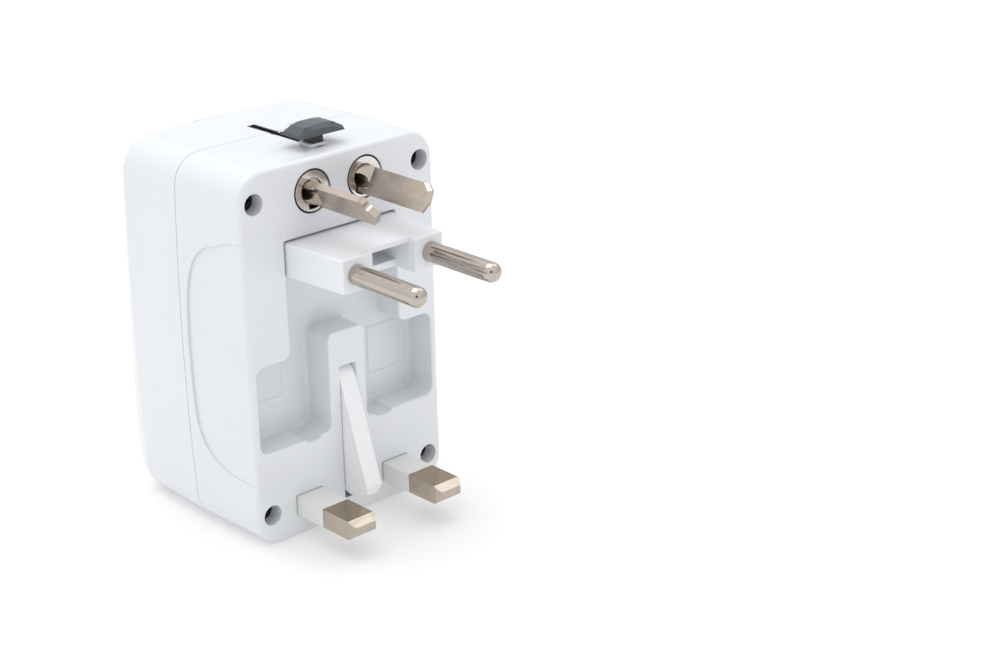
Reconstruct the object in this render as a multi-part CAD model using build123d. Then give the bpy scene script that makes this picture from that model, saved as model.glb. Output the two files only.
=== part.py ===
from build123d import *
import math
import os

os.makedirs("parts", exist_ok=True)

# Travel adapter. Row frame in mm: X to the right seen from the socket side, +Y towards the plug
# side, +Z up, origin on the bottom face.

# ---- case
HEIGHT = 76.5          # case height
Y_BACK = 21.0          # plug face
Y_SEAM = 1.5           # joint between the two halves
Y_FRONT = -21.8        # socket face
SEAM = 0.14            # visible gap between the halves
HW_BACK = 23.8         # half width at the plug face
HW_BOT, HW_MID, HW_TOP = 24.15, 25.25, 23.95   # half widths at the seam: foot, belly, top
Z_BELLY = 36.0
R_CORNER = 6.0
WALL = 1.8
UNDER = -0.02          # the outlines reach just under the foot, which is then cut level

# ---- folding round pin block
EU_Z = 57.78           # hinge height
EU_Y = 17.6            # hinge depth
EU_T = 6.8             # block thickness
EU_HW = 12.4           # block half width at its outer end
EU_HW0 = 13.45         # and at the plug face
EU_END = 36.5          # outer end of the block
EU_X = 9.15            # pin offset
EU_R = 2.0             # pin radius
EU_LEN = 19.0          # pin length outside the block

# ---- recess for the block
REC_HW, REC_TOP, STEP_Z = 13.8, 61.6, 37.8
POC_HW, POC_BOT, DIP_BOT = 22.1, 19.75, 19.0
FLOOR_Y = 13.7
TOWER_HW, TOWER_TOP = 4.6, 40.2

# ---- earth lever
LEV_Y, LEV_Z = 17.3, 28.85
LEV_T, LEV_W, LEV_LEN = 7.4, 3.9, 24.4
LEV_OPEN = 17.8        # degrees open at rest
SLOT_HW, SLOT_TOP, SLOT_BOT, SLOT_Y = 2.1, 32.72, 4.0, 13.25

# ---- rectangular pins
UK_X, UK_Z = 11.115, 6.62
UK_W, UK_T, UK_OUT, UK_SLEEVE = 6.35, 3.95, 17.45, 8.1
UK_GAP = 0.16

# ---- flat blades
BL_X, BL_Z = 6.45, 70.0
BL_W, BL_T = 5.5, 1.45
BL_DROP = 0.5          # the blade sits this much below the ring's centre
BL_TURN = 30.0         # degrees from upright at rest
RING_R, RING_BORE, RING_HOLE = 4.0, 2.55, 4.4

# ---- screws
SCR_X, SCR_Z = 20.3, (6.5, 70.4)

# ---- knob and slot
KNOB_X, KNOB_Y = 0.4, 14.15
STEM_HW, STEM_HD = 1.3, 1.6
SLOT_F, SLOT_B = -5.9, 16.3
DETENT_Y = 2.6


def bx(x0, x1, y0, y1, z0, z1):
    return Pos((x0 + x1) / 2, (y0 + y1) / 2, (z0 + z1) / 2) * Box(abs(x1 - x0), abs(y1 - y0), abs(z1 - z0))


def cyl_y(x, z, r, y0, y1):
    return Pos(x, (y0 + y1) / 2, z) * Rot(90, 0, 0) * Cylinder(r, abs(y1 - y0))


def cyl_x(y, z, r, x0, x1):
    return Pos((x0 + x1) / 2, y, z) * Rot(0, 90, 0) * Cylinder(r, abs(x1 - x0))


def cyl_z(x, y, r, z0, z1):
    return Pos(x, y, (z0 + z1) / 2) * Cylinder(r, abs(z1 - z0))


def prism_y(face, y0, y1):
    """Extrude a face drawn in (X, Z) from y0 to y1."""
    return extrude(Plane.XZ.offset(-y0) * face, -(y1 - y0))


def soft(shape, edges, r, label=""):
    edges = list(edges)
    for k in (1.0, 0.7, 0.45, 0.25):
        try:
            out = fillet(edges, r * k)
            if out.is_valid and out.volume > 0:
                return out
        except Exception:
            pass
    print("fillet left out:", label)
    return shape


def outline(hb, hm, ht, z0, z1, rb, rt, zm=Z_BELLY):
    """Case outline in (X, Z): flat top and foot, bowed sides, round corners."""
    foot = Line((-hb, z0), (hb, z0))
    right = ThreePointArc((hb, z0), (hm, zm), (ht, z1))
    top = Line((ht, z1), (-ht, z1))
    left = ThreePointArc((-ht, z1), (-hm, zm), (-hb, z0))
    sk = make_face(Curve() + [foot, right, top, left])
    lo = [v for v in sk.vertices() if v.Y < zm]
    sk = fillet(lo, rb)
    hi = [v for v in sk.vertices() if v.Y > z1 - 0.01]
    sk = fillet(hi, rt)
    return sk


def at_y(sk, y):
    return Plane.XZ.offset(-y) * sk


def skin(sections):
    return loft([at_y(s, y).face() for s, y in sections], ruled=True)


def rounded(x0, x1, z0, z1, r):
    sk = Pos((x0 + x1) / 2, (z0 + z1) / 2) * Rectangle(x1 - x0, z1 - z0)
    if r > 0:
        sk = fillet(sk.vertices(), r)
    return sk


# =====================================================================================
# BACK HALF
# =====================================================================================
o_back = lambda d: outline(HW_BACK - d, HW_BACK + 0.06 - d, HW_BACK - d, d or UNDER, HEIGHT - d, R_CORNER - d * 0.8, R_CORNER - d * 0.8)
o_seam = lambda d: outline(HW_BOT - d, HW_MID - d, HW_TOP - d, d or UNDER, HEIGHT - d, R_CORNER - d * 0.8, R_CORNER - d * 0.8)
y_sb, y_sf = Y_SEAM + SEAM / 2, Y_SEAM - SEAM / 2

def rim_soft(b, r):
    return soft(b, [e for e in b.edges() if min(v.Y for v in e.vertices()) > Y_BACK - 0.02], r, "rim of the plug face")


body = rim_soft(skin([(o_back(0), Y_BACK), (o_seam(0), y_sb)]), 0.9)
# grip relief: a shallow arch set 0.5 into both sides, running out at the plug face
inset = rim_soft(skin([(outline(HW_BACK - 0.12, HW_BACK - 0.06, HW_BACK - 0.12, UNDER, HEIGHT, R_CORNER, R_CORNER), Y_BACK),
                       (outline(HW_BOT - 0.5, HW_MID - 0.5, HW_TOP - 0.5, UNDER, HEIGHT, R_CORNER, R_CORNER), y_sb)]), 0.85)
arch_pts = [(21, 63.4), (16.8, 62.7), (12.7, 61.3), (9.2, 60.0), (6.4, 57.4), (4.6, 53.6), (3.6, 47.1), (3.3, 37.5),
            (3.6, 27.3), (4.4, 21.6), (6.5, 17.6), (10.4, 15.0), (15.8, 13.8), (21, 13.6)]
arch_pts = [(22.5, 63.6)] + arch_pts + [(22.5, 13.5)]
arch_face = make_face(Curve() + [Spline(*arch_pts), Line(arch_pts[-1], arch_pts[0])])
arch = extrude(Plane.YZ.offset(-30) * arch_face, 60)
body = (body - arch) + (inset & arch)

cave = skin([(o_back(WALL), Y_BACK - WALL), (o_seam(WALL), y_sb - 0.01)])
shell = body - cave - bx(-40, 40, -40, 40, -5, 0)

# housings inside: behind the recess, the lever slot, screw posts
rec_out = rounded(-REC_HW - 1.4, REC_HW + 1.4, STEP_Z - 3, REC_TOP + 1.4, 1.5) + rounded(-POC_HW - 1.2, POC_HW + 1.2, POC_BOT - 2.3, STEP_Z + 1.4, 1.5)
house = prism_y(rec_out, FLOOR_Y - 1.4, Y_BACK - WALL + 0.3)
house += bx(-SLOT_HW - 1.4, SLOT_HW + 1.4, 11.8, Y_BACK - WALL + 0.3, 1.0, 34.2)
for sx in (-1, 1):
    for sz in SCR_Z:
        house += cyl_y(sx * SCR_X, sz, 3.2, y_sb, Y_BACK - WALL + 0.3)
house = house & skin([(o_back(0.9), Y_BACK - 0.5), (o_seam(0.9), y_sb)])
shell += house

# recess and pockets
upper = rounded(-REC_HW, REC_HW, STEP_Z - 4, REC_TOP, 0.4)
lower = rounded(-POC_HW, POC_HW, POC_BOT, STEP_Z, 2.0)
recess = upper + lower
for sx in (-1, 1):
    recess += Pos(sx * 9.0, DIP_BOT + 3.2) * RectangleRounded(5.6, 6.4, 2.2)
inner = [v for v in recess.vertices() if abs(abs(v.X) - REC_HW) < 0.05 and abs(v.Y - STEP_Z) < 0.05]
recess = fillet(inner, 1.6)
tower = rounded(-TOWER_HW, TOWER_HW, 10, TOWER_TOP, 1.5)
tower = tower & (Pos(0, 30) * Rectangle(40, 30))
recess = recess - tower
low = [v for v in recess.vertices() if abs(abs(v.X) - TOWER_HW) < 0.05 and v.Y < 25]
if low:
    try:
        recess = fillet(low, 1.5)
    except Exception:
        print("fillet left out: foot of the tower")
cut = prism_y(recess, FLOOR_Y, Y_BACK + 2)
cut = soft(cut, [e for e in cut.edges() if max(v.Y for v in e.vertices()) < FLOOR_Y + 0.02], 0.9, "recess floor")
shell -= cut
# a thin moulded frame line on each pocket floor
for x0, x1, z0 in ((10.9, 19.5, 27.2), (-19.5, -10.9, 25.2)):
    frame_line = rounded(x0, x1, z0, 35.6, 0.5) - rounded(x0 + 0.26, x1 - 0.26, z0 + 0.26, 35.34, 0.3)
    shell -= prism_y(frame_line, FLOOR_Y - 0.06, FLOOR_Y + 0.5)

# soft edge round the recess
rim = [e for e in shell.edges() if min(v.Y for v in e.vertices()) > Y_BACK - 0.02 and abs(e.center().X) < POC_HW + 0.2
       and POC_BOT - 1.5 < e.center().Z < REC_TOP + 0.2]
shell = soft(shell, rim, 0.35, "recess rim")

# slot of the lever
shell -= bx(-SLOT_HW, SLOT_HW, SLOT_Y, Y_BACK + 2, SLOT_BOT, SLOT_TOP)
shell -= cyl_x(LEV_Y, LEV_Z, 0.82, -4.3, 4.3)
# hinge holes of the block
shell -= cyl_x(EU_Y, EU_Z, 1.02, -REC_HW - 1.0, REC_HW + 1.0)
# windows of the rectangular pins
for sx in (-1, 1):
    shell -= bx(sx * UK_X - UK_W / 2 - UK_GAP, sx * UK_X + UK_W / 2 + UK_GAP, Y_BACK - 4, Y_BACK + 1,
                UK_Z - UK_T / 2 - UK_GAP, UK_Z + UK_T / 2 + UK_GAP)
# seats of the rings
for sx in (-1, 1):
    shell -= cyl_y(sx * BL_X, BL_Z, RING_HOLE, Y_BACK - 1.5, Y_BACK + 1)
    shell -= cyl_y(sx * BL_X, BL_Z, 3.75, Y_BACK - 4, Y_BACK)
# screw holes
for sx in (-1, 1):
    for sz in SCR_Z:
        shell -= cyl_y(sx * SCR_X, sz, 2.1, 16.2, Y_BACK + 1)
        shell -= cyl_y(sx * SCR_X, sz, 1.15, 0, 17)
# slot of the knob in the top
shell -= bx(KNOB_X - 0.98, KNOB_X + 0.98, y_sb - 1, SLOT_B, HEIGHT - 2.2, HEIGHT + 1)
shell -= cyl_z(KNOB_X, DETENT_Y, 1.28, HEIGHT - 2.2, HEIGHT + 1)
back_shell = shell

# =====================================================================================
# FRONT HALF
# =====================================================================================
s1 = lambda d: outline(23.75 - d, 24.35 - d, 23.5 - d, d or UNDER, HEIGHT - 0.2 - d, R_CORNER - d * 0.7, 6.6 - d * 0.7)
s2 = lambda d: outline(22.5 - d, 22.75 - d, 20.9 - d, 1.9 + d, 68.4 - d, 5.0, 8.5, 34)
s3 = lambda d: outline(22.0 - d, 22.25 - d, 20.3 - d, 2.4 + d, 67.4 - d, 4.8, 8.2, 34)
front = skin([(o_seam(0), y_sf), (s1(0), -17.2), (s2(0), -21.0), (s3(0), Y_FRONT)])
edge1 = [e for e in front.edges() if all(abs(v.Y + 17.2) < 0.02 for v in e.vertices()) and abs(e.center().Y + 17.2) < 0.05]
front = soft(front, edge1, 1.6, "front shoulder")
edge2 = [e for e in front.edges() if all(abs(v.Y + 21.0) < 0.02 for v in e.vertices()) and abs(e.center().Y + 21.0) < 0.05]
front = soft(front, [e for e in edge2 if e.length > 8], 0.4, "plateau foot")
edge3 = [e for e in front.edges() if all(abs(v.Y - Y_FRONT) < 0.02 for v in e.vertices())]
front = soft(front, edge3, 0.5, "plateau edge")
front -= bx(-40, 40, -40, 40, -5, 0)

# brow over the indicator
brow_pts = [(-14, HEIGHT - 0.4), (-19.2, HEIGHT - 0.6), (-21.9, 74.6), (-21.9, 69.2), (-20.9, 68.6), (-14, 68.6)]
brow = extrude(Plane.YZ.offset(-4.4) * make_face(Polyline(*brow_pts, close=True)), 8.8)
brow = soft(brow, [e for e in brow.edges() if max(v.Y for v in e.vertices()) < -14.1], 0.35, "brow")
front += brow

hollow = skin([(o_seam(WALL), y_sf + 0.01), (s1(WALL), -16.6), (s3(WALL + 0.2), -19.6)])
front -= hollow

# faceplate opening and ledge
PL_HW, PL_BOT, PL_TOP = 20.05, 5.6, 61.4


def plate_outline(d):
    a, b, cx, cz = 7.5 + d, 14.8 + d, 12.55, PL_TOP - 14.8
    rb = 3.6 + d
    k = 0.5523
    q = [(cx + a, cz), (cx + a, cz + k * b), (cx + k * a, cz + b), (cx, cz + b)]
    x1, zb = PL_HW + d, PL_BOT - d
    c = Curve()
    c += Line((-(x1 - rb), zb), (x1 - rb, zb))
    c += CenterArc((x1 - rb, zb + rb), rb, -90, 90)
    c += Line((x1, zb + rb), (x1, cz))
    c += Bezier(*q)
    c += Line((cx, cz + b), (-cx, cz + b))
    c += Bezier(*[(-x, z) for x, z in reversed(q)])
    c += Line((-x1, cz), (-x1, zb + rb))
    c += CenterArc((-(x1 - rb), zb + rb), rb, 180, 90)
    return make_face(c)


front += prism_y(plate_outline(1.6), -20.4, -18.6) & skin([(s1(0.5), -17.0), (s3(0.5), -20.9)])
front -= prism_y(plate_outline(0.45), Y_FRONT - 1, -19.95)
front -= prism_y(plate_outline(-1.6), Y_FRONT - 1, -15)

# posts for the screws
for sx in (-1, 1):
    for sz in SCR_Z:
        post = cyl_y(sx * SCR_X, sz, 2.9, y_sf, -18.0) & skin([(o_seam(0.9), y_sf), (s1(0.9), -16.9), (s3(0.9), -20.5)])
        front += post
        front -= cyl_y(sx * SCR_X, sz, 1.0, y_sf + 1, -9.5)

# inner lip that covers the seam
lip = skin([(o_seam(WALL + 0.15), y_sf + 2.0), (o_seam(WALL + 0.15), y_sf - 2.0)]) - skin([(o_seam(WALL + 0.95), y_sf + 2.1), (o_seam(WALL + 0.95), y_sf - 2.1)])
for sx in (-1, 1):
    for sz in SCR_Z:
        lip -= cyl_y(sx * SCR_X, sz, 3.6, y_sf - 0.6, y_sf + 3)
lip -= bx(-15, 15, -5, 8, 60, 80)
root = skin([(o_seam(WALL - 0.3), y_sf - 0.6), (o_seam(WALL - 0.3), y_sf - 2.0)]) - skin([(o_seam(WALL + 0.5), y_sf - 0.5), (o_seam(WALL + 0.5), y_sf - 2.1)])
root -= bx(-15, 15, -5, 8, 60, 80)
front += lip + root

# openings: indicator, ports, knob slot
LED_X, LED_Z0, LED_Z1 = 3.5, 69.9, 72.7
front -= bx(-LED_X - 0.08, LED_X + 0.08, -23, -16, LED_Z0 - 0.08, LED_Z1 + 0.08)
USB_Y, USB_Z = -9.2, (40.5, 58.9)
for z in USB_Z:
    front -= bx(-28, -20, USB_Y - 2.95, USB_Y + 2.95, z - 6.65, z + 6.65)
front -= bx(KNOB_X - 0.98, KNOB_X + 0.98, SLOT_F, y_sf + 1, HEIGHT - 2.2, HEIGHT + 1)
front -= cyl_z(KNOB_X, DETENT_Y, 1.28, HEIGHT - 2.2, HEIGHT + 1)
front_shell = front

# =====================================================================================
# FACEPLATE with its openings
# =====================================================================================
# live and neutral opening, right side, (X, Z)
ln_pts = [(5.35, 26.5), (8.5, 26.5), (9.3, 25.7), (11.6, 25.15), (16.15, 25.0), (16.15, 20.05), (11.0, 19.6), (8.3, 19.5),
          (7.0, 18.3), (5.2, 18.4), (4.55, 19.4), (5.6, 22.8)]
SOCK = 1.1             # height of the openings above the first drawing
ln = Pos(0, SOCK) * make_face(Polyline(*ln_pts, close=True))
ln = fillet(ln.vertices(), 0.3)
earth = rounded(-2.45, 2.45, 45.0, 51.35, 0.15) + Pos(0, 44.1) * Circle(4.2) + Pos(0, 37.3) * Circle(3.35) + rounded(-2.1, 2.1, 28.8, 37.0, 0.2) + Pos(0, 28.4) * Circle(1.85)
hole = Pos(0, 22.8 + SOCK) * Circle(2.15)

plate = skin([(plate_outline(-0.3), Y_FRONT), (plate_outline(0), Y_FRONT + 0.3), (plate_outline(0), -20.0)])
plate += prism_y(plate_outline(0.40), -21.2, -20.0)
plate += prism_y(plate_outline(-2.0), -20.2, -19.4)
shroud = Pos(0, 44.1) * Circle(5.4) + Pos(0, 37.3) * Circle(4.6) + rounded(-3.7, 3.7, 31.6, 52.6, 0.6)
plate += prism_y(shroud, -19.6, -12.2)
plate -= prism_y(earth, Y_FRONT - 1, -11)
plate -= prism_y(ln, Y_FRONT - 1, -15)
plate -= prism_y(mirror(ln, Plane.YZ), Y_FRONT - 1, -15)
plate -= prism_y(hole, Y_FRONT - 1, -15)
# guide rails of the shutter, beside it
for sx in (-1, 1):
    plate += bx(sx * 17.3, sx * 18.0, -19.6, -17.3, 11.0, 30.0)
# seat of the shutter spring
plate += bx(-1.8, 1.8, -19.6, -17.1, 6.8, 7.7)
mouth = [e for e in plate.edges() if max(v.Y for v in e.vertices()) < Y_FRONT + 0.02 and abs(e.center().X) < 17 and 17 < e.center().Z < 52]
plate = soft(plate, mouth, 0.25, "mouths of the openings")
faceplate = plate

# =====================================================================================
# INDICATOR
# =====================================================================================
led_lens = bx(-LED_X, LED_X, -22.6, -18.2, LED_Z0, LED_Z1)
led_lens = soft(led_lens, [e for e in led_lens.edges() if max(v.Y for v in e.vertices()) < -22.5], 0.25, "lens")
led = cyl_y(0, (LED_Z0 + LED_Z1) / 2 - 0.1, 1.25, -17.9, -14.5) + cyl_y(0, (LED_Z0 + LED_Z1) / 2 - 0.1, 1.4, -14.9, -14.3)
for sx in (-1, 1):
    led += bx(sx * 0.9 - 0.2, sx * 0.9 + 0.2, -14.4, -12.6, 71.0, 71.4) + bx(sx * 0.9 - 0.2, sx * 0.9 + 0.2, -13.0, -12.6, 63.5, 71.4)

# =====================================================================================
# CHARGING PORTS
# =====================================================================================
usb_shells, usb_tongues, usb_contacts = Part(), Part(), Part()
for z in USB_Z:
    s = bx(-24.3, -10.6, USB_Y - 2.85, USB_Y + 2.85, z - 6.55, z + 6.55) - bx(-25, -11.0, USB_Y - 2.56, USB_Y + 2.56, z - 6.25, z + 6.25)
    usb_shells += s
    t = bx(-23.4, -13.6, USB_Y - 2.15, USB_Y - 0.3, z - 5.55, z + 5.55) + bx(-13.8, -11.05, USB_Y - 2.5, USB_Y + 2.5, z - 6.2, z + 6.2)
    usb_tongues += t
    for k in (-3.5, -1.0, 1.0, 3.5):
        usb_contacts += bx(-22.6, -13.9, USB_Y - 0.28, USB_Y - 0.02, z + k - 0.5, z + k + 0.5)

# =====================================================================================
# RINGS, BLADES, THEIR SLIDE AND THE KNOB
# =====================================================================================
def swept(side, w, t, y0, y1):
    """Room for the lower half of a blade over its whole turn."""
    out = None
    for k in range(7):
        b = place_blade(bx(-t / 2, t / 2, y0, y1, -w / 2 - BL_DROP, 0), side, BL_TURN * k / 6)
        out = b if out is None else out + b
    return out


def place_blade(shape, side, turn=BL_TURN):
    # seen from the plug side the two blades stand like a V that is open at the top
    return Pos(side * BL_X, 0, BL_Z) * Rot(0, side * turn, 0) * shape


def ring_at(side):
    x = side * BL_X
    r = cyl_y(x, BL_Z, RING_R, Y_BACK - 1.45, Y_BACK - 0.02) + cyl_y(x, BL_Z, 3.6, Y_BACK - 2.4, Y_BACK - 1.2)
    r -= cyl_y(x, BL_Z, RING_BORE, Y_BACK - 3, Y_BACK + 1)
    # a shallow step round the bore
    r -= cyl_y(x, BL_Z, RING_BORE + 0.3, Y_BACK - 0.14, Y_BACK + 1)
    r -= swept(side, BL_W + 0.4, BL_T + 0.5, Y_BACK - 4, Y_BACK + 1)
    return r


ring_left, ring_right = ring_at(-1), ring_at(1)
# thin black gaskets between the rings and the case
ring_gaskets = Part()
for sx in (-1, 1):
    ring_gaskets += cyl_y(sx * BL_X, BL_Z, RING_HOLE - 0.02, Y_BACK - 1.48, Y_BACK - 0.35) - cyl_y(sx * BL_X, BL_Z, RING_R + 0.02, Y_BACK - 3, Y_BACK + 1)

R_Y0, R_Y1 = 15.2, 18.2      # rotor
ROOT_R = 2.42               # round root of the blade


def blade_upright(hooked):
    """Blade with its centre line on the Y axis, flat sides left and right."""
    z0, z1, h, P = -BL_W / 2 - BL_DROP, BL_W / 2 - BL_DROP, BL_T / 2, Y_BACK
    side_view = lambda pts: make_face(Polyline(*pts, close=True))
    if hooked:
        # a small catch on the upper edge, a hollow behind it, a long slope and a slanted end
        pts = [(R_Y0, z0), (P + 17.1, z0), (P + 18.6, z0 + 2.4), (P + 17.35, z0 + 3.7), (P + 16.85, z0 + 3.95), (P + 16.55, z0 + 4.3),
               (P + 16.75, z0 + 5.2), (P + 16.25, z1 + 0.12), (P + 15.2, z1), (R_Y0, z1)]
        b = extrude(Plane.YZ.offset(-h) * side_view(pts), BL_T)
    else:
        # six sided end with a bevel all round
        outer = [(R_Y0, z0), (P + 18.6, z0), (P + 19.6, z0 + 2.3), (P + 19.3, z1 - 1.0), (P + 17.9, z1), (R_Y0, z1)]
        inner = [(R_Y0, z0), (P + 17.95, z0), (P + 18.85, z0 + 2.0), (P + 18.5, z1 - 1.4), (P + 16.8, z1), (R_Y0, z1)]
        b = extrude(Plane.YZ.offset(-0.25) * side_view(outer), 0.5)
        for s in (-1, 1):
            b += loft([(Plane.YZ.offset(s * 0.25) * side_view(outer)).face(), (Plane.YZ.offset(s * h) * side_view(inner)).face()], ruled=True)
    return b


def blade(hooked, side, turn=BL_TURN):
    # round root that fills the ring, run out towards the flat side, with a hollow beside the blade
    h, P = BL_T / 2, Y_BACK
    root = cyl_y(0, 0, ROOT_R, R_Y1, P - 0.45)
    ramp = Polyline((0, P - 1), (ROOT_R + 0.2, P - 1), (ROOT_R + 0.2, P - 0.45), (h, P + 2.6), (0, P + 2.6), close=True)
    root += cyl_y(0, 0, ROOT_R, P - 1, P + 3) & extrude(Plane.XY.offset(-4) * make_face(ramp), 8)
    root = root & bx(-5, 5, R_Y1, P + 4, -BL_W / 2 - BL_DROP, ROOT_R)
    # the hollow, upright when the blades stand in their V
    th = math.radians(side * BL_TURN)
    c = [(math.cos(th) * x - math.sin(th) * z, math.sin(th) * x + math.cos(th) * z) for x, z in ((1.9, -0.5), (1.9, 0.3))]
    for x, z in c:
        root -= cyl_y(x, z, 0.85, R_Y1 - 1, P + 4)
    return place_blade(blade_upright(hooked) + root, side, turn)


def rotor_upright():
    r = cyl_y(0, 0, 3.5, R_Y0, R_Y1) - bx(-BL_T / 2, BL_T / 2, R_Y0 - 1, R_Y1 + 1, -BL_W / 2 - BL_DROP, BL_W / 2 - BL_DROP)
    return r


blade_left, blade_right = blade(False, -1), blade(True, 1)
rotor_left, rotor_right = place_blade(rotor_upright(), -1), place_blade(rotor_upright(), 1)

carr = bx(-12.6, 12.6, 12.2, 18.45, 65.8, 74.1)
for sx in (-1, 1):
    carr -= cyl_y(sx * BL_X, BL_Z, 3.65, R_Y0 - 0.25, R_Y1 + 0.05)
    carr -= cyl_y(sx * BL_X, BL_Z, 3.4, R_Y0 - 1, 20)
carr = soft(carr, [e for e in carr.edges() if e.length > 6 and abs(abs(e.center().X) - 12.6) < 0.05 and abs(e.center().Y - 15.35) < 0.5], 1.0, "carriage")
blade_carriage = carr

# knob: a web through the slot, a square stem on a small foot plate, and a facetted cap
web = bx(KNOB_X - 0.42, KNOB_X + 0.42, KNOB_Y - 0.2, KNOB_Y + 1.5, 74.1, 77.2)
slider_stem = bx(KNOB_X - STEM_HW, KNOB_X + STEM_HW, KNOB_Y - STEM_HD, KNOB_Y + STEM_HD, 77.2, 79.4)
slider_stem = soft(slider_stem, [e for e in slider_stem.edges() if abs(e.center().Z - 78.3) < 0.3], 0.2, "stem") + web
slider_base = bx(KNOB_X - 2.1, KNOB_X + 2.1, KNOB_Y - 2.0, KNOB_Y + 1.9, HEIGHT + 0.08, 77.2)
slider_base = soft(slider_base, [e for e in slider_base.edges() if abs(e.center().Z - (HEIGHT + 77.28) / 2) < 0.1], 0.5, "foot plate")
slider_base -= web

CX, CY0, CY1 = 5.4, KNOB_Y - 3.05, KNOB_Y + 3.05
cap_pts = [(-CX, 79.0), (CX, 79.0), (CX, 79.65), (3.5, 80.75), (1.4, 81.05), (-1.4, 81.05), (-3.3, 80.85), (-CX, 79.75)]
cap = extrude(Plane.XZ.offset(-CY0) * make_face(Polyline(*cap_pts, close=True)), -(CY1 - CY0))
# long slopes on both long sides
for y, s in ((CY0, -1), (CY1, 1)):
    w = Polyline((y - s * 0.95, 81.2), (y - s * 0.95, 81.06), (y + s * 0.05, 80.2), (y + s, 80.2), (y + s, 81.2), close=True)
    cap -= extrude(Plane.YZ.offset(-2.2) * make_face(w), 4.4)
    for e in (-1, 1):
        # the slopes follow the falling ends
        dz = 0.95 if e > 0 else 0.9
        b0 = Plane.YZ.offset(e * 2.2) * make_face(w)
        b1 = Plane.YZ.offset(e * (CX + 0.2)) * (Pos(0, -dz - 0.25) * make_face(w))
        cap -= loft([b0.face(), b1.face()], ruled=True)
cap -= bx(-STEM_HW, STEM_HW, KNOB_Y - STEM_HD, KNOB_Y + STEM_HD, 78, 79.4)
slider_knob = Pos(KNOB_X, 0, 0) * cap

# black lining of the slot with a round seat for the detent ball
lining = bx(KNOB_X - 0.95, KNOB_X + 0.95, SLOT_F + 0.03, SLOT_B - 0.03, 74.75, HEIGHT - 0.05)
lining += cyl_z(KNOB_X, DETENT_Y, 1.25, 74.75, HEIGHT - 0.05)
lining -= bx(KNOB_X - 0.5, KNOB_X + 0.5, SLOT_F + 0.4, SLOT_B - 0.4, 74, HEIGHT + 1)
lining -= cyl_z(KNOB_X - 0.85, DETENT_Y - 0.3, 0.3, 75.4, HEIGHT + 1)
slot_lining = lining
detent_ball = Pos(KNOB_X - 0.85, DETENT_Y - 0.3, HEIGHT - 0.26) * Sphere(0.28)

# =====================================================================================
# RECTANGULAR PINS AND THEIR SLIDE
# =====================================================================================
Y_UK0, Y_TIP = 6.8, Y_BACK + UK_OUT


def uk_pin(x):
    p = bx(x - UK_W / 2, x + UK_W / 2, Y_BACK + UK_SLEEVE, Y_TIP, UK_Z - UK_T / 2, UK_Z + UK_T / 2)
    # bevelled end: top and foot run in over 1.6 mm, sides a little
    for s in (-1, 1):
        z0, z1 = UK_Z + s * UK_T / 2, UK_Z + s * 0.88
        tri = Polyline((Y_TIP - 1.6, z0), (Y_TIP, z1), (Y_TIP + 0.3, z1 - s * 0.2), (Y_TIP + 0.3, z0 + s), (Y_TIP - 1.6, z0 + s), close=True)
        p -= extrude(Plane.YZ.offset(x - 6) * make_face(tri), 12)
        xs = x + s * UK_W / 2
        tri = Polyline((xs, Y_TIP - 1.05), (xs - s * 0.8, Y_TIP + 0.05), (xs + s, Y_TIP + 0.05), (xs + s, Y_TIP - 1.05), close=True)
        p -= extrude(Plane.XY * make_face(tri), 20)
    core = bx(x - 2.5, x + 2.5, Y_UK0, Y_BACK + UK_SLEEVE + 0.5, UK_Z - 1.4, UK_Z + 1.4)
    return p + core


def uk_sleeve(x):
    s = bx(x - UK_W / 2, x + UK_W / 2, 11.2, Y_BACK + UK_SLEEVE, UK_Z - UK_T / 2, UK_Z + UK_T / 2)
    return s - bx(x - 2.5, x + 2.5, 10, 40, UK_Z - 1.4, UK_Z + 1.4)


uk_pin_left, uk_pin_right = uk_pin(-UK_X), uk_pin(UK_X)
uk_sleeve_left, uk_sleeve_right = uk_sleeve(-UK_X), uk_sleeve(UK_X)
ukc = bx(-15.6, 15.6, 6.2, 11.2, 3.2, 10.6)
for sx in (-1, 1):
    ukc -= bx(sx * UK_X - 2.5, sx * UK_X + 2.5, Y_UK0, 12, UK_Z - 1.4, UK_Z + 1.4)
ukc -= bx(-6.5, 6.5, 6.0, 8.2, 4.4, 9.4)
uk_carriage = ukc

# =====================================================================================
# FOLDING BLOCK AND ROUND PINS
# =====================================================================================
plan = Polyline((-EU_HW0, EU_Y), (-EU_HW0, Y_BACK), (-EU_HW, EU_END), (EU_HW, EU_END), (EU_HW0, Y_BACK), (EU_HW0, EU_Y), close=True)
blk = extrude(Plane.XY.offset(EU_Z - EU_T / 2) * make_face(plan), EU_T) + cyl_x(EU_Y, EU_Z, EU_T / 2, -EU_HW0, EU_HW0)
blk = soft(blk, [e for e in blk.edges() if (e.center().Y > EU_END - 0.1) or (abs(e.center().X) > EU_HW + 0.02 and e.length > 4)], 0.4, "block")
blk -= bx(-5.2, 5.2, 30.6, EU_END + 1, EU_Z - EU_T / 2 - 1, EU_Z + EU_T / 2 - 0.95)
blk -= bx(-5.2, 5.2, 34.8, EU_END + 1, EU_Z - EU_T / 2 - 1, EU_Z + EU_T / 2 + 1)
for sx in (-1, 1):
    blk -= cyl_y(sx * EU_X, EU_Z, 1.52, 23.0, EU_END + 1)
# the block is hollow behind its notch
blk -= bx(-5.2, 5.2, 23.6, 30.8, EU_Z - EU_T / 2 + 1.35, EU_Z + EU_T / 2 - 0.95)
blk -= cyl_x(EU_Y, EU_Z, 1.04, -20, 20)
eu_block = blk


def eu_pin(x):
    end = EU_END + EU_LEN
    p = cyl_y(x, EU_Z, EU_R, EU_END + 0.2, end - EU_R) + Pos(x, end - EU_R, EU_Z) * Sphere(EU_R)
    # neck where it leaves the block
    return p + cyl_y(x, EU_Z, 1.5, 23.2, EU_END + 0.3)


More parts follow.
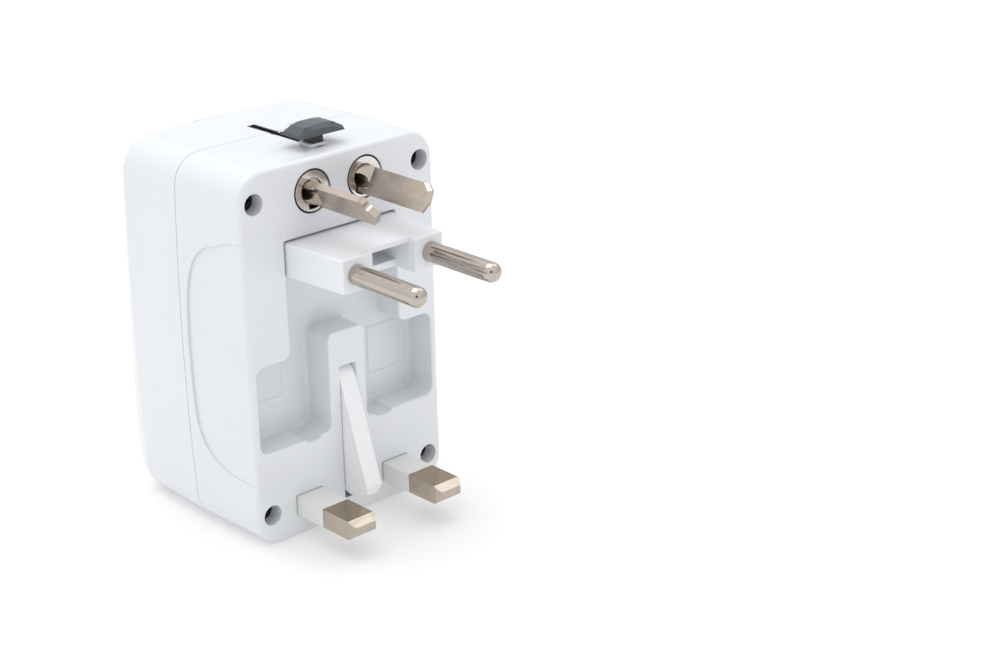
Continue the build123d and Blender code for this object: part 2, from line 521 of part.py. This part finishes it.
eu_pin_left, eu_pin_right = eu_pin(-EU_X), eu_pin(EU_X)
eu_hinge_rod = cyl_x(EU_Y, EU_Z, 1.0, -REC_HW - 0.9, REC_HW + 0.9)

# =====================================================================================
# EARTH LEVER
# =====================================================================================
# drawn folded: outer face flush with the plug face, then opened about its hinge
zt = LEV_Z - LEV_LEN
lp = Polyline((Y_BACK, LEV_Z), (Y_BACK, zt + 1.5), (Y_BACK - 1.1, zt), (Y_BACK - LEV_T + 0.9, zt), (Y_BACK - LEV_T, zt + 0.9), (Y_BACK - LEV_T, LEV_Z), close=True)
lev = extrude(Plane.YZ.offset(-LEV_W / 2) * make_face(lp), LEV_W) + cyl_x(LEV_Y, LEV_Z, LEV_T / 2, -LEV_W / 2, LEV_W / 2)
for s in (-1, 1):
    w = Polyline((s * (LEV_W / 2), zt + 1.3), (s * (LEV_W / 2 - 0.85), zt - 0.1), (s * (LEV_W / 2 + 1), zt - 0.1), (s * (LEV_W / 2 + 1), zt + 1.3), close=True)
    lev -= prism_y(make_face(w), 5, 25)
lev -= cyl_x(LEV_Y, LEV_Z, 0.86, -5, 5)
earth_pin = Pos(0, LEV_Y, LEV_Z) * Rot(LEV_OPEN, 0, 0) * Pos(0, -LEV_Y, -LEV_Z) * lev
earth_hinge_rod = cyl_x(LEV_Y, LEV_Z, 0.8, -4.2, 4.2)

# =====================================================================================
# SCREWS
# =====================================================================================
case_screws = Part()
for sx in (-1, 1):
    for sz in SCR_Z:
        s = cyl_y(sx * SCR_X, sz, 1.95, 16.22, 17.9) + cyl_y(sx * SCR_X, sz, 0.95, -8.5, 16.3)
        s -= bx(sx * SCR_X - 1.3, sx * SCR_X + 1.3, 17.1, 18.2, sz - 0.25, sz + 0.25) + bx(sx * SCR_X - 0.25, sx * SCR_X + 0.25, 17.1, 18.2, sz - 1.3, sz + 1.3)
        case_screws += s

# =====================================================================================
# SHUTTER, ITS SPRING, SOCKET CONTACTS
# =====================================================================================
sh = bx(-16.9, 16.9, -19.1, -17.6, 19.3 + SOCK, 27.9 + SOCK)
# both sides slope so that a pin pushes the shutter down
shutter = soft(sh, [e for e in sh.edges() if e.center().Y < -19.0 and e.length > 20], 0.5, "shutter")
shutter += bx(-1.6, 1.6, -19.1, -17.6, 18.5 + SOCK, 19.4 + SOCK)

sp_top, sp_bot = 18.4 + SOCK, 7.8
hx = Helix(pitch=1.5, height=sp_top - sp_bot - 0.5, radius=0.85, center=(0, -18.3, sp_bot + 0.25))
shutter_spring = sweep((hx ^ 0) * Circle(0.19), hx)

cc = bx(-18.2, 18.2, -17.1, -3.6, 16.8 + SOCK, 28.6 + SOCK)
for sx in (-1, 1):
    cc -= bx(sx * 4.9, sx * 17.0, -18, -4.4, 18.6 + SOCK, 26.8 + SOCK)
cc = cc - bx(-3.2, 3.2, -18, -5.0, 18.0 + SOCK, 27.4 + SOCK)
contact_carrier = cc


def socket_contact(s):
    c = bx(s * 6.0, s * 16.2, -16.2, -4.9, 25.3, 25.8) + bx(s * 6.0, s * 16.2, -16.2, -4.9, 19.0, 19.5) + bx(s * 6.0, s * 16.2, -5.4, -4.9, 19.0, 25.8)
    return Pos(0, 0, SOCK) * c


contact_line, contact_neutral = socket_contact(1), socket_contact(-1)
contact_earth = bx(-3.1, -2.6, -11.6, -6.4, 34.0, 50.0) + bx(2.6, 3.1, -11.6, -6.4, 34.0, 50.0) + bx(-3.1, 3.1, -6.9, -6.4, 34.0, 50.0)

# =====================================================================================
# CHARGER BOARD AND PROTECTION
# =====================================================================================
B0, B1 = -5.9, -4.3
power_board = bx(-21.6, 20.6, B0, B1, 31.0, 63.0)
tc = bx(8.0, 19.6, -17.6, -7.0, 49.6, 62.0)
win = bx(9.6, 12.2, -18, -6, 51.4, 60.2) + bx(15.4, 18.0, -18, -6, 51.4, 60.2)
transformer_core = tc - win
wd = bx(9.7, 17.9, -18.6, B0, 51.5, 60.1)
transformer_winding = wd - bx(12.2, 15.4, -17.6, -7.0, 49, 63) - bx(9.0, 9.6, -30, 0, 40, 70)
transformer_winding = transformer_winding & bx(9.7, 17.9, -18.6, B0, 51.5, 60.1)
capacitor = cyl_z(13.6, -10.6, 4.0, 32.4, 46.4)
capacitor = soft(capacitor, capacitor.edges(), 0.5, "capacitor")
capacitor += bx(11.2, 11.8, -10.8, B0, 31.6, 32.1) + bx(15.4, 16.0, -10.8, B0, 31.6, 32.1) + bx(11.2, 11.8, -11.0, -10.5, 31.6, 32.5) + bx(15.4, 16.0, -11.0, -10.5, 31.6, 32.5)
varistor = cyl_y(11.0, 52.0, 4.8, B1 + 0.6, B1 + 4.2)
varistor = soft(varistor, varistor.edges(), 0.8, "varistor") + bx(8.7, 9.2, B1, B1 + 2.5, 45.8, 46.3) + bx(12.8, 13.3, B1, B1 + 2.5, 45.8, 46.3) + bx(8.7, 9.2, B1 + 2.0, B1 + 2.5, 45.8, 49.0) + bx(12.8, 13.3, B1 + 2.0, B1 + 2.5, 45.8, 49.0)
fuse = cyl_z(-8.0, B1 + 3.6, 2.55, 35.0, 55.0)
fuse = soft(fuse, fuse.edges(), 0.3, "fuse")
fuse_clips = Part()
for z in (37.5, 52.5):
    c = bx(-11.2, -4.8, B1, B1 + 5.2, z - 1.8, z + 1.8) - cyl_z(-8.0, B1 + 3.6, 2.6, z - 3, z + 3) - bx(-10.2, -5.8, B1 + 3.6, B1 + 6, z - 3, z + 3)
    fuse_clips += c
chips = bx(-3.5, 1.5, B0 - 1.5, B0, 55.5, 59.5) + bx(-9.8, -6.3, B0 - 1.2, B0, 33.0, 36.0) + bx(2.5, 6.5, B0 - 2.0, B0, 60.2, 62.6)

line_busbar = bx(18.2, 18.8, 3.2, 8.2, 14.0, 65.0) + bx(18.2, 18.8, -3.4, 3.4, 22.0, 27.0)
neutral_busbar = bx(-18.8, -18.2, 3.2, 8.2, 14.0, 65.0) + bx(-18.8, -18.2, -3.4, 3.4, 22.0, 27.0)

nodes = dict(
    back_shell=back_shell, front_shell=front_shell, faceplate=faceplate, led_lens=led_lens, led=led,
    usb_shells=usb_shells, usb_tongues=usb_tongues, usb_contacts=usb_contacts,
    ring_left=ring_left, ring_right=ring_right, ring_gaskets=ring_gaskets, blade_left=blade_left, blade_right=blade_right,
    rotor_left=rotor_left, rotor_right=rotor_right, blade_carriage=blade_carriage,
    slider_stem=slider_stem, slider_base=slider_base, slider_knob=slider_knob, slot_lining=slot_lining, detent_ball=detent_ball,
    uk_pin_left=uk_pin_left, uk_pin_right=uk_pin_right, uk_sleeve_left=uk_sleeve_left, uk_sleeve_right=uk_sleeve_right,
    uk_carriage=uk_carriage, eu_block=eu_block, eu_pin_left=eu_pin_left, eu_pin_right=eu_pin_right,
    eu_hinge_rod=eu_hinge_rod, earth_pin=earth_pin, earth_hinge_rod=earth_hinge_rod, case_screws=case_screws,
    shutter=shutter, shutter_spring=shutter_spring, contact_carrier=contact_carrier,
    contact_line=contact_line, contact_neutral=contact_neutral, contact_earth=contact_earth,
    power_board=power_board, transformer_core=transformer_core, transformer_winding=transformer_winding,
    capacitor=capacitor, varistor=varistor, fuse=fuse, fuse_clips=fuse_clips, chips=chips,
    line_busbar=line_busbar, neutral_busbar=neutral_busbar,
)
for name, shape in nodes.items():
    solids = shape.solids()
    if not all(s.is_valid for s in solids):
        print("invalid:", name)
    if len(solids) == 1:
        export_step(solids[0], f"parts/{name}.step")
    else:
        print(name, len(solids), "solids")
        export_step(Compound(children=list(solids)), f"parts/{name}.step")
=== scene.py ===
import math

import bpy
from mathutils import Matrix, Vector

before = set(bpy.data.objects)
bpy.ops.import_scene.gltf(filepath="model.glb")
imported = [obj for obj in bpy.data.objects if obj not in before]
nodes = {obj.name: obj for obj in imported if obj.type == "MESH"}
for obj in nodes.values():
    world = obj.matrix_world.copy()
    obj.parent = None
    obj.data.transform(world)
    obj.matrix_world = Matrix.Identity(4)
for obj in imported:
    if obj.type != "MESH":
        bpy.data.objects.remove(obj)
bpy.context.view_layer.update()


# ------------------------------------------------------------------------------------
# camera: the photograph's viewing angle
# ------------------------------------------------------------------------------------
cam_data = bpy.data.cameras.new("camera")
cam = bpy.data.objects.new("camera", cam_data)
bpy.context.scene.collection.objects.link(cam)
cam_data.sensor_fit = "HORIZONTAL"
cam_data.sensor_width = 36.0
cam_data.lens = 73.134
cam_data.shift_x = 0.00805
cam_data.shift_y = 0.0065
cam_data.clip_start = 0.01
cam_data.clip_end = 50.0
right = Vector((-0.72940725, 0.68386062, -0.01731233))
up = -Vector((0.26394918, 0.25800072, -0.92939037))
back = -Vector((-0.63110688, -0.68247365, -0.36869204))
m = Matrix.Identity(4)
for r in range(3):
    m[r][0], m[r][1], m[r][2] = right[r], up[r], back[r]
m.translation = Vector((0.231674, 0.313778, 0.184903))
cam.matrix_world = m
bpy.context.scene.camera = cam
bpy.context.scene.view_settings.view_transform = "Standard"
bpy.context.scene.view_settings.look = "None"
bpy.context.scene.view_settings.exposure = 0.0
bpy.context.scene.view_settings.gamma = 1.0


# ------------------------------------------------------------------------------------
# material helpers
# ------------------------------------------------------------------------------------
class Tree:
    """A small helper to build a node tree in one line per node."""

    def __init__(self, name):
        self.mat = bpy.data.materials.new(name)
        self.mat.use_nodes = True
        self.nt = self.mat.node_tree
        self.nt.nodes.clear()
        self.out = self.nt.nodes.new("ShaderNodeOutputMaterial")
        self.bsdf = self.nt.nodes.new("ShaderNodeBsdfPrincipled")
        self.nt.links.new(self.bsdf.outputs[0], self.out.inputs["Surface"])
        self.coord = self.nt.nodes.new("ShaderNodeTexCoord")

    def new(self, kind, **props):
        n = self.nt.nodes.new(kind)
        for k, v in props.items():
            setattr(n, k, v)
        return n

    def link(self, a, b):
        self.nt.links.new(a, b)

    def mapped(self, scale=(1, 1, 1), rot=(0, 0, 0), loc=(0, 0, 0)):
        mp = self.new("ShaderNodeMapping")
        mp.inputs["Scale"].default_value = scale
        mp.inputs["Rotation"].default_value = rot
        mp.inputs["Location"].default_value = loc
        self.link(self.coord.outputs["Object"], mp.inputs["Vector"])
        return mp.outputs[0]

    def noise(self, vec, scale, detail=4.0, rough=0.55, dist=0.0):
        n = self.new("ShaderNodeTexNoise")
        n.inputs["Scale"].default_value = scale
        n.inputs["Detail"].default_value = detail
        n.inputs["Roughness"].default_value = rough
        n.inputs["Distortion"].default_value = dist
        self.link(vec, n.inputs["Vector"])
        return n.outputs["Fac"]

    def voronoi(self, vec, scale, feature="F1"):
        n = self.new("ShaderNodeTexVoronoi", feature=feature)
        n.inputs["Scale"].default_value = scale
        self.link(vec, n.inputs["Vector"])
        return n.outputs["Distance"]

    def remap(self, val, a0, a1, b0, b1):
        n = self.new("ShaderNodeMapRange")
        n.inputs["From Min"].default_value = a0
        n.inputs["From Max"].default_value = a1
        n.inputs["To Min"].default_value = b0
        n.inputs["To Max"].default_value = b1
        self.link(val, n.inputs["Value"])
        return n.outputs[0]

    def ramp(self, val, stops, interp="LINEAR"):
        n = self.new("ShaderNodeValToRGB")
        n.color_ramp.interpolation = interp
        els = n.color_ramp.elements
        while len(els) > 1:
            els.remove(els[-1])
        els[0].position, els[0].color = stops[0][0], (*stops[0][1], 1)
        for p, c in stops[1:]:
            e = els.new(p)
            e.color = (*c, 1)
        self.link(val, n.inputs[0])
        return n.outputs[0]

    def mix(self, fac, a, b, mode="MIX"):
        n = self.new("ShaderNodeMix", data_type="RGBA", blend_type=mode)
        if isinstance(fac, (int, float)):
            n.inputs[0].default_value = fac
        else:
            self.link(fac, n.inputs[0])
        for sock, v in ((n.inputs[6], a), (n.inputs[7], b)):
            if isinstance(v, tuple):
                sock.default_value = (*v, 1)
            else:
                self.link(v, sock)
        return n.outputs[2]

    def math(self, op, a, b=None, clamp=False):
        n = self.new("ShaderNodeMath", operation=op, use_clamp=clamp)
        for i, v in enumerate((a, b)):
            if v is None:
                continue
            if isinstance(v, (int, float)):
                n.inputs[i].default_value = v
            else:
                self.link(v, n.inputs[i])
        return n.outputs[0]

    def bump(self, height, strength, distance, normal=None):
        n = self.new("ShaderNodeBump")
        n.inputs["Strength"].default_value = strength
        n.inputs["Distance"].default_value = distance
        self.link(height, n.inputs["Height"])
        if normal is not None:
            self.link(normal, n.inputs["Normal"])
        return n.outputs[0]

    def edge(self, radius, samples=6):
        """Softened normal at sharp corners, about as moulded or tumbled edges have."""
        n = self.new("ShaderNodeBevel", samples=samples)
        n.inputs["Radius"].default_value = radius
        return n.outputs[0]

    def set(self, **kv):
        names = {"base": "Base Color", "rough": "Roughness", "metal": "Metallic", "ior": "IOR", "coat": "Coat Weight",
                 "coat_rough": "Coat Roughness", "aniso": "Anisotropic", "sss": "Subsurface Weight", "alpha": "Alpha",
                 "trans": "Transmission Weight", "normal": "Normal", "spec": "Specular IOR Level", "emis": "Emission Color",
                 "emis_s": "Emission Strength", "sss_scale": "Subsurface Scale"}
        for k, v in kv.items():
            s = self.bsdf.inputs[names[k]]
            if isinstance(v, tuple):
                s.default_value = (*v, 1) if len(v) == 3 and k in ("base", "emis") else v
            elif isinstance(v, (int, float)):
                s.default_value = v
            else:
                self.link(v, s)
        return self


def moulded(name, base, rough=0.28, grain=0.0, wave=1.0, coat=0.0, edge=0.00012, shade=0.025, warm=None, ior=1.49, grain_scale=5200.0):
    """Injection moulded plastic: slow flow mottling in colour and gloss, faint sink waves, optional spark grain, tiny scuffs."""
    t = Tree(name)
    v = t.mapped()
    flow = t.noise(t.mapped(scale=(1, 1, 0.45)), 45.0, 2.0, 0.45, 0.4)
    fine = t.noise(v, 900.0, 3.0, 0.6)
    lo = tuple(c * (1 - shade) for c in base)
    hi = tuple(min(1.0, c * (1 + shade * 0.6)) for c in base)
    if warm:
        lo = tuple(c * w for c, w in zip(lo, warm))
    col = t.ramp(t.remap(flow, 0.3, 0.7, 0, 1), [(0.0, lo), (0.55, base), (1.0, hi)], "EASE")
    # scuffs: thin stretched streaks where the gloss is a little lower
    streak = t.noise(t.mapped(scale=(1, 0.06, 1), rot=(0.4, 0.2, 0.7)), 1300.0, 2.0, 0.5)
    scuff = t.remap(streak, 0.62, 0.74, 0.0, 1.0)
    patch = t.remap(t.noise(v, 90.0, 2.0, 0.5), 0.5, 0.68, 0.0, 1.0)
    scuff = t.math("MULTIPLY", scuff, patch, True)
    r0 = t.remap(flow, 0.25, 0.75, rough - 0.02, rough + 0.025)
    r1 = t.math("ADD", r0, t.math("MULTIPLY", scuff, 0.02))
    r2 = t.math("ADD", r1, t.remap(fine, 0.3, 0.7, -0.012, 0.012), True)
    normal = t.edge(edge) if edge else None
    sink = t.noise(v, 70.0, 1.0, 0.4)
    n = t.bump(sink, 0.012 * wave, 0.0004, normal)
    n = t.bump(fine, 0.012, 0.00001, n)
    if grain > 0:
        g = t.noise(v, grain_scale, 2.0, 0.6)
        n = t.bump(g, grain, 0.00003, n)
    t.set(base=col, rough=r2, normal=n, ior=ior, coat=coat, coat_rough=0.12)
    return t


def metal(name, base, rough=0.2, axis="Y", brush=0.3, tarnish=None, edge=0.0001, aniso=0.0, streak_scale=900.0, dull=0.0, painted_reflection_tone=None):
    """Plated metal: drawn or brushed lines along one axis, slow tarnish clouds, fine pits and hairline scratches."""
    t = Tree(name)
    sc = {"X": (0.03, 1, 1), "Y": (1, 0.03, 1), "Z": (1, 1, 0.03)}[axis]
    lines = t.noise(t.mapped(scale=sc), streak_scale, 4.0, 0.6)
    cloud = t.noise(t.mapped(), 190.0, 4.0, 0.6, 0.4)
    fine = t.noise(t.mapped(), 2600.0, 2.0, 0.5)
    hair = t.remap(t.noise(t.mapped(scale=(0.05, 1, 1), rot=(0.1, 0.5, 1.1)), 1500.0, 1.0, 0.5), 0.68, 0.74, 0.0, 1.0)
    tar = tarnish or tuple(c * 0.86 for c in base)
    col = t.ramp(t.remap(cloud, 0.3, 0.72, 0, 1), [(0.0, base), (0.6, tuple((a + b) / 2 for a, b in zip(base, tar))), (1.0, tar)], "EASE")
    col = t.mix(t.remap(lines, 0.35, 0.75, 0.0, 0.16), col, tuple(c * 0.72 for c in base))
    if painted_reflection_tone:
        # painted reflection: the faces that look straight up or down are coloured darker and warmer, standing in for
        # the darker surroundings they mirror
        sep = t.new("ShaderNodeSeparateXYZ")
        t.link(t.coord.outputs["Normal"], sep.inputs[0])
        painted_reflection_mask = t.remap(t.math("ABSOLUTE", sep.outputs["Z"]), 0.9, 0.98, 0.0, 0.9)
        col = t.mix(painted_reflection_mask, col, painted_reflection_tone)
    r = t.remap(lines, 0.3, 0.7, rough * 0.8, rough * 1.25)
    r = t.math("ADD", r, t.remap(cloud, 0.35, 0.75, 0.0, 0.05 + dull))
    r = t.math("ADD", r, t.math("MULTIPLY", hair, 0.08), True)
    n = t.edge(edge) if edge else None
    n = t.bump(lines, brush, 0.000012, n)
    n = t.bump(fine, 0.08, 0.000006, n)
    n = t.bump(hair, -0.15, 0.000008, n)
    t.set(base=col, metal=1.0, rough=r, normal=n, aniso=aniso)
    return t


def painted_on(names, mat):
    for n in names:
        o = nodes[n]
        o.data.materials.clear()
        o.data.materials.append(mat)


# ------------------------------------------------------------------------------------
# finishes
# ------------------------------------------------------------------------------------
WHITE = (0.76, 0.775, 0.80)
case_white = moulded("case_white", WHITE, rough=0.24, shade=0.008, wave=0.8)
plate_white = moulded("plate_white", (0.765, 0.78, 0.805), rough=0.33, shade=0.008, wave=0.7)
block_white = moulded("block_white", (0.80, 0.814, 0.837), rough=0.34, shade=0.008, wave=0.6)
lever_white = moulded("lever_white", (0.89, 0.895, 0.902), rough=0.34, shade=0.012, wave=0.8, grain=0.02)
sleeve_white = moulded("sleeve_white", (0.74, 0.755, 0.715), rough=0.36, shade=0.03, wave=0.6, grain=0.03, edge=0.00008)
tongue_white = moulded("tongue_white", (0.78, 0.78, 0.77), rough=0.4, shade=0.03)
inner_plastic = moulded("inner_plastic", (0.70, 0.70, 0.70), rough=0.5, shade=0.04, grain=0.05)
dark_plastic = moulded("dark_plastic", (0.022, 0.022, 0.025), rough=0.45, shade=0.2, grain=0.04)
stem_black = moulded("stem_black", (0.018, 0.019, 0.022), rough=0.38, shade=0.2, grain=0.03)
# black for the slot lining; on the ring gaskets it is painted shade, black washers filling the gaps round the rings
lining_black = moulded("lining_black", (0.010, 0.010, 0.011), rough=0.5, shade=0.2, grain=0.03, edge=0)
rotor_black = moulded("rotor_black", (0.012, 0.012, 0.013), rough=0.5, shade=0.2, grain=0.03, edge=0)
base_white = moulded("base_white", (0.74, 0.75, 0.765), rough=0.3, shade=0.01, wave=0.5)
knob_grey = moulded("knob_grey", (0.070, 0.077, 0.086), rough=0.30, shade=0.06, wave=0.6, grain=0.02, edge=0.00018)
shutter_red = moulded("shutter_red", (0.42, 0.002, 0.009), rough=0.38, shade=0.08, wave=0.8, grain=0.02, ior=1.27)

nickel = metal("nickel", (0.76, 0.735, 0.70), rough=0.16, axis="Y", brush=0.12, streak_scale=500, tarnish=(0.66, 0.63, 0.59))
blade_nickel = metal("blade_nickel", (0.58, 0.50, 0.43), rough=0.24, axis="Y", brush=0.18, tarnish=(0.50, 0.42, 0.35), dull=0.03, edge=0.00004)
# the UK pins' faces looking up and down get a painted reflection colour, darker and warmer than the rest
pin_nickel = metal("pin_nickel", (0.53, 0.46, 0.392), rough=0.17, axis="Y", brush=0.08, tarnish=(0.42, 0.36, 0.30), edge=0, painted_reflection_tone=(0.34, 0.265, 0.18))
round_pin_nickel = metal("round_pin_nickel", (0.545, 0.482, 0.428), rough=0.11, axis="Y", brush=0.10, tarnish=(0.50, 0.44, 0.385))
port_steel = metal("port_steel", (0.22, 0.21, 0.195), rough=0.24, axis="X", brush=0.05, tarnish=(0.17, 0.16, 0.148))
rod_steel = metal("rod_steel", (0.58, 0.58, 0.58), rough=0.3, axis="X")
screw_steel = metal("screw_steel", (0.045, 0.045, 0.05), rough=0.38, axis="Y", tarnish=(0.03, 0.03, 0.03))
ball_steel = metal("ball_steel", (0.80, 0.80, 0.80), rough=0.08, axis="Y", brush=0.05, edge=0)
spring_steel = metal("spring_steel", (0.58, 0.58, 0.60), rough=0.25, axis="Z")
contact_brass = metal("contact_brass", (0.74, 0.58, 0.30), rough=0.28, axis="Z", tarnish=(0.55, 0.38, 0.18))
contact_gold = metal("contact_gold", (0.85, 0.66, 0.32), rough=0.2, axis="Z", tarnish=(0.75, 0.55, 0.25))


def board():
    t = Tree("board_green")
    v = t.mapped()
    trace = t.new("ShaderNodeTexBrick")
    trace.inputs["Scale"].default_value = 420.0
    trace.inputs["Mortar Size"].default_value = 0.16
    trace.inputs["Color1"].default_value = (0.010, 0.075, 0.030, 1)
    trace.inputs["Color2"].default_value = (0.012, 0.085, 0.035, 1)
    trace.inputs["Mortar"].default_value = (0.020, 0.13, 0.055, 1)
    t.link(t.mapped(rot=(math.radians(90), 0, 0)), trace.inputs["Vector"])
    n = t.noise(v, 700.0)
    col = t.mix(t.remap(n, 0.4, 0.7, 0, 0.35), trace.outputs["Color"], (0.006, 0.05, 0.02))
    t.set(base=col, rough=t.remap(n, 0.3, 0.7, 0.28, 0.42), normal=t.bump(trace.outputs["Fac"], 0.2, 0.00003))
    return t


def ferrite():
    t = Tree("ferrite")
    n = t.noise(t.mapped(), 1500.0, 6.0, 0.7)
    col = t.ramp(n, [(0.3, (0.03, 0.03, 0.033)), (0.7, (0.07, 0.07, 0.075))])
    t.set(base=col, rough=t.remap(n, 0.3, 0.7, 0.5, 0.7), normal=t.bump(n, 0.3, 0.00004))
    return t


def winding():
    t = Tree("winding_tape")
    w = t.new("ShaderNodeTexWave", wave_type="BANDS", bands_direction="Z")
    w.inputs["Scale"].default_value = 220.0
    w.inputs["Distortion"].default_value = 0.3
    t.link(t.mapped(), w.inputs["Vector"])
    col = t.ramp(w.outputs["Fac"], [(0.0, (0.42, 0.26, 0.02)), (1.0, (0.62, 0.42, 0.05))])
    t.set(base=col, rough=t.remap(w.outputs["Fac"], 0, 1, 0.35, 0.22), normal=t.bump(w.outputs["Fac"], 0.2, 0.00005), coat=0.3, coat_rough=0.2)
    return t


def sleeve_film(name, a, b):
    t = Tree(name)
    n = t.noise(t.mapped(scale=(1, 1, 0.2)), 600.0, 3.0)
    t.set(base=t.ramp(n, [(0.35, a), (0.7, b)]), rough=t.remap(n, 0.3, 0.7, 0.2, 0.34), normal=t.bump(n, 0.1, 0.00003))
    return t


board_green = board()
ferrite_m = ferrite()
winding_m = winding()
capacitor_m = sleeve_film("capacitor_sleeve", (0.012, 0.016, 0.06), (0.02, 0.026, 0.09))
varistor_m = sleeve_film("varistor_blue", (0.02, 0.07, 0.30), (0.03, 0.10, 0.38))
fuse_m = sleeve_film("fuse_glass", (0.62, 0.62, 0.58), (0.74, 0.74, 0.70))


def lens_material():
    """Dark red moulded lens: clear to the light through it, with a faint flow pattern."""
    t = Tree("lens_red")
    n = t.noise(t.mapped(), 420.0, 3.0)
    col = t.ramp(n, [(0.3, (0.26, 0.001, 0.004)), (0.75, (0.36, 0.002, 0.006))])
    t.set(base=col, rough=t.remap(n, 0.3, 0.7, 0.07, 0.13), trans=0.3, ior=1.28,
          normal=t.bump(n, 0.04, 0.00005, t.edge(0.0002)))
    return t


def diode_material():
    t = Tree("diode_red")
    n = t.noise(t.mapped(), 500.0)
    t.set(base=t.ramp(n, [(0.3, (0.35, 0.01, 0.01)), (0.7, (0.5, 0.02, 0.02))]), rough=t.remap(n, 0.3, 0.7, 0.12, 0.2))
    return t


table = {
    case_white: ["back_shell", "front_shell"],
    plate_white: ["faceplate"],
    block_white: ["eu_block"],
    lever_white: ["earth_pin"],
    sleeve_white: ["uk_sleeve_left", "uk_sleeve_right"],
    tongue_white: ["usb_tongues"],
    inner_plastic: ["blade_carriage", "uk_carriage"],
    dark_plastic: ["contact_carrier", "chips"],
    rotor_black: ["rotor_left", "rotor_right"],
    # ring_gaskets: black washers in the gaps round the rings, painted shade for those dark gaps
    lining_black: ["slot_lining", "ring_gaskets"],
    base_white: ["slider_base"],
    ball_steel: ["detent_ball"],
    stem_black: ["slider_stem"],
    knob_grey: ["slider_knob"],
    shutter_red: ["shutter"],
    nickel: ["ring_left", "ring_right"],
    blade_nickel: ["blade_left", "blade_right"],
    pin_nickel: ["uk_pin_left", "uk_pin_right"],
    round_pin_nickel: ["eu_pin_left", "eu_pin_right"],
    port_steel: ["usb_shells"],
    rod_steel: ["eu_hinge_rod", "earth_hinge_rod"],
    screw_steel: ["case_screws"],
    spring_steel: ["shutter_spring"],
    contact_brass: ["contact_line", "contact_neutral", "contact_earth", "fuse_clips", "line_busbar", "neutral_busbar"],
    contact_gold: ["usb_contacts"],
    board_green: ["power_board"],
    ferrite_m: ["transformer_core"],
    winding_m: ["transformer_winding"],
    capacitor_m: ["capacitor"],
    varistor_m: ["varistor"],
    fuse_m: ["fuse"],
    lens_material(): ["led_lens"],
    diode_material(): ["led"],
}
done = set()
for t, names in table.items():
    painted_on(names, t.mat)
    done |= set(names)
missing = sorted(set(nodes) - done)
if missing:
    raise RuntimeError("no finish for " + ", ".join(missing))

# ------------------------------------------------------------------------------------
# floor
# ------------------------------------------------------------------------------------
bpy.ops.mesh.primitive_grid_add(x_subdivisions=8, y_subdivisions=8, size=6.0, location=(0, 0, -0.00005))
floor = bpy.context.object
floor.name = "floor"
ft = Tree("floor_paper")
fn = ft.noise(ft.mapped(), 6.0, 2.0)
ft.set(base=ft.ramp(fn, [(0.3, (0.70, 0.70, 0.70)), (0.7, (0.71, 0.71, 0.71))]), rough=0.75, spec=0.15, emis=(1.0, 1.0, 1.0), emis_s=0.255)
floor.data.materials.append(ft.mat)


# ------------------------------------------------------------------------------------
# studio light: a bright tent with a dim patch low in front, a large softbox above left
# ------------------------------------------------------------------------------------
world = bpy.data.worlds.new("studio")
bpy.context.scene.world = world
world.use_nodes = True
wt = world.node_tree
wt.nodes.clear()
wo = wt.nodes.new("ShaderNodeOutputWorld")
bg = wt.nodes.new("ShaderNodeBackground")
wt.links.new(bg.outputs[0], wo.inputs["Surface"])
tc = wt.nodes.new("ShaderNodeTexCoord")


def wdot(vec):
    n = wt.nodes.new("ShaderNodeVectorMath")
    n.operation = "DOT_PRODUCT"
    v = Vector(vec).normalized()
    n.inputs[1].default_value = v
    wt.links.new(tc.outputs["Generated"], n.inputs[0])
    return n.outputs["Value"]


def wmap(val, a0, a1, b0, b1):
    n = wt.nodes.new("ShaderNodeMapRange")
    n.interpolation_type = "SMOOTHSTEP"
    n.inputs["From Min"].default_value = a0
    n.inputs["From Max"].default_value = a1
    n.inputs["To Min"].default_value = b0
    n.inputs["To Max"].default_value = b1
    wt.links.new(val, n.inputs["Value"])
    return n.outputs[0]


def wmul(a, b):
    n = wt.nodes.new("ShaderNodeMath")
    n.operation = "MULTIPLY"
    wt.links.new(a, n.inputs[0])
    wt.links.new(b, n.inputs[1])
    return n.outputs[0]


def cosd(d):
    return math.cos(math.radians(d))


# brightness over the tent: sides lit, front (plug side) dimmer, dark round the opening the lens looks through
side = wmap(wdot((0.50, 0.18, 0.84)), -1.0, 1.0, 0.64, 1.06)
hole = wmap(wdot((0.631, 0.682, 0.369)), cosd(17), cosd(8), 1.0, 0.05)
strength = wmul(side, hole)
wt.links.new(strength, bg.inputs["Strength"])
bg.inputs["Color"].default_value = (0.985, 0.992, 1.0, 1)


def area(name, loc, target, size, power, size_y=None, color=(1, 1, 1)):
    d = bpy.data.lights.new(name, "AREA")
    d.shape = "RECTANGLE" if size_y else "SQUARE"
    d.size = size
    if size_y:
        d.size_y = size_y
    d.energy = power
    d.color = color
    o = bpy.data.objects.new(name, d)
    bpy.context.scene.collection.objects.link(o)
    o.location = loc
    o.rotation_euler = (Vector(target) - Vector(loc)).to_track_quat("-Z", "Y").to_euler()
    return o


centre = (0.0, 0.005, 0.04)
area("softbox_top", (0.06, -0.22, 0.93), centre, 0.8, 3.0, 0.8)
area("softbox_right", (-0.47, 0.06, 0.60), centre, 0.35, 0.36, 0.35)
